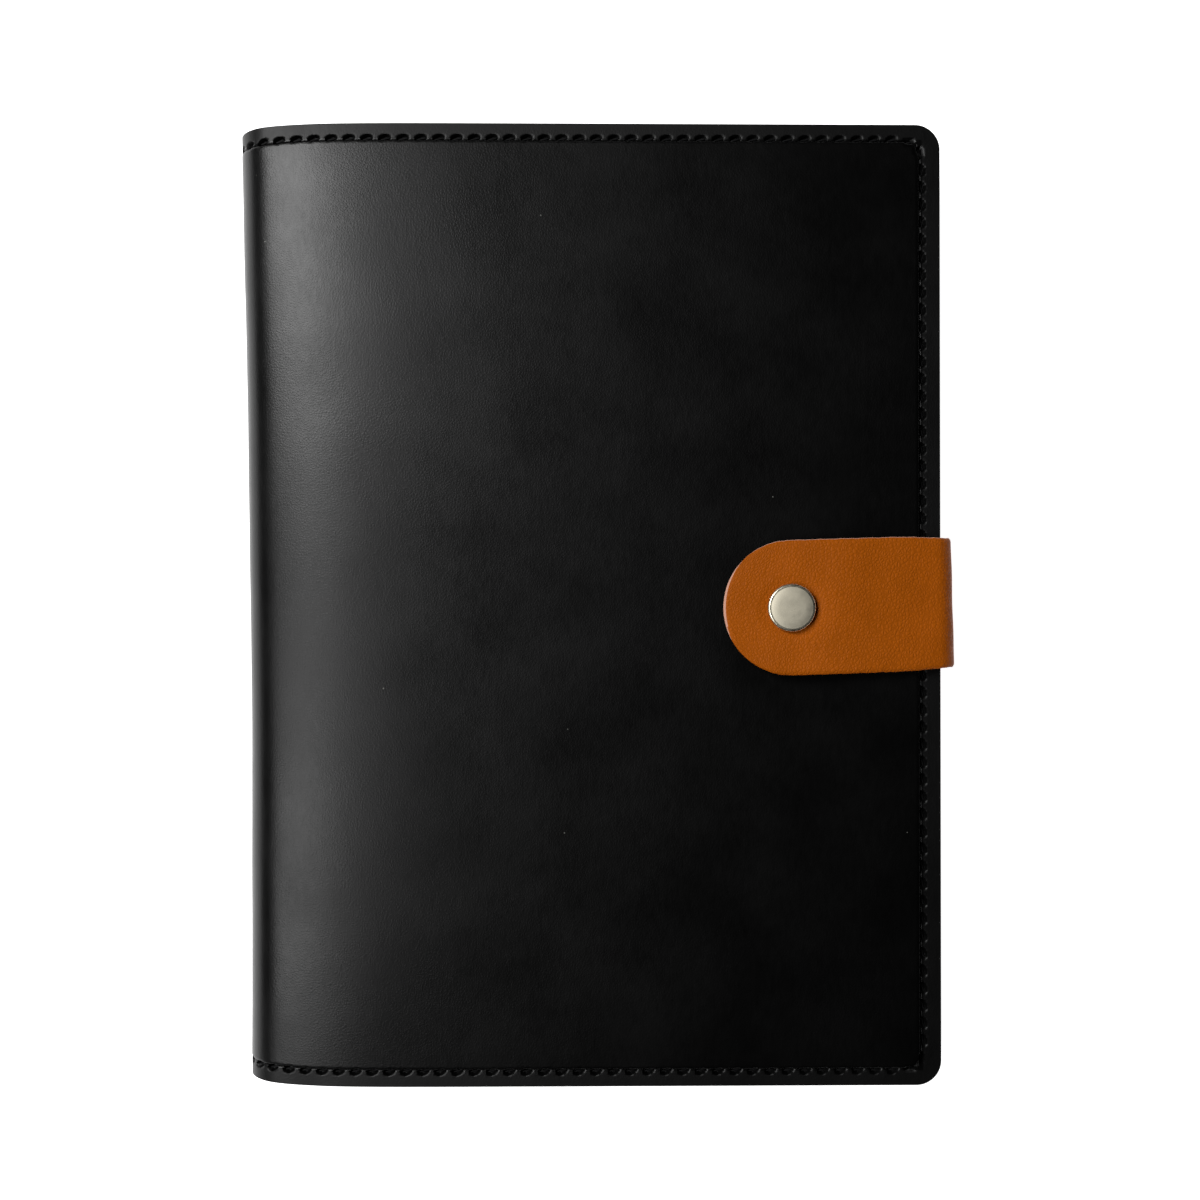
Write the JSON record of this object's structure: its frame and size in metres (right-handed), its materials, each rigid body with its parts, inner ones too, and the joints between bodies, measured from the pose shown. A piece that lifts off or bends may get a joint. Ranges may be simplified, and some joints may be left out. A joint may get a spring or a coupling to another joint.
{
  "type": "leather notebook cover",
  "caption": "Black leather notebook cover with sleeve pockets, a soft round spine, a stitched edge and a tan strap that snaps over the front; holds a hardback notebook.",
  "frame": {"origin": "centre of the flat back face, on which the closed cover lies", "axes": "+X from the spine to the fore edge, +Y from tail to head, +Z from the back to the front"},
  "size_m": [0.1654, 0.22, 0.0292],
  "materials": {
    "black_leather": "smooth black calf leather, soft satin",
    "pocket_leather": "thin black leather",
    "tan_leather": "tan vegetable-tanned leather, fine grain, raw cut edge",
    "lining": "black microfibre lining",
    "padding": "thin felt padding",
    "thread": "waxed black thread",
    "nickel": "nickel plated, lightly brushed",
    "spring_steel": "bright spring wire",
    "board": "notebook board covered in black paper",
    "paper": "ivory writing paper"
  },
  "bodies": {
    "back_cover": {"back_leather": "black_leather", "back_padding": "padding", "back_lining": "lining", "back_pocket": "pocket_leather", "back_stitching": "thread", "strap_anchor": "tan_leather", "anchor_stitching": "thread", "notebook_back_board": "board", "back_endpaper": "paper", "back_pages": "paper"},
    "spine_roll": {"spine_leather": "black_leather", "spine_lining": "lining", "spine_stitching": "thread", "notebook_spine_strip": "board"},
    "front_cover": {"front_leather": "black_leather", "front_padding": "padding", "front_lining": "lining", "front_pocket": "pocket_leather", "front_stitching": "thread", "notebook_front_board": "board", "front_endpaper": "paper", "snap_stud": "nickel", "snap_post": "nickel"},
    "turned_pages": {"front_pages": "paper"},
    "strap_side": {"strap_rise": "tan_leather"},
    "strap_flap": {"strap_tail": "tan_leather", "snap_cap": "nickel", "snap_socket": "nickel", "socket_spring": "spring_steel"}
  },
  "joints": [
    {"name": "back_fold", "type": "hinge", "parent": "back_cover", "child": "spine_roll", "pos_m": [-0.07769, 0, 0.00421], "axis": [0, -1, 0], "range_deg": [0, 90]},
    {"name": "front_fold", "type": "hinge", "parent": "spine_roll", "child": "front_cover", "pos_m": [-0.07769, 0, 0.01779], "axis": [0, -1, 0], "range_deg": [0, 90]},
    {"name": "page_turn", "type": "hinge", "parent": "back_cover", "child": "turned_pages", "pos_m": [-0.075, 0, 0.011], "axis": [0, -1, 0], "range_deg": [0, 175.5]},
    {"name": "strap_base_fold", "type": "hinge", "parent": "back_cover", "child": "strap_side", "pos_m": [0.0831, 0.00058, 0.00088], "axis": [-0.0314, 0.9995, 0], "range_deg": [0, 90]},
    {"name": "strap_top_fold", "type": "hinge", "parent": "strap_side", "child": "strap_flap", "pos_m": [0.08323, 0.00058, 0.02384], "axis": [-0.0314, 0.9995, 0], "range_deg": [0, 83]}
  ],
  "couplings": [
    {"joint": "front_fold", "follows": "back_fold", "ratio": 1},
    {"joint": "page_turn", "follows": "back_fold", "ratio": 1.95}
  ]
}
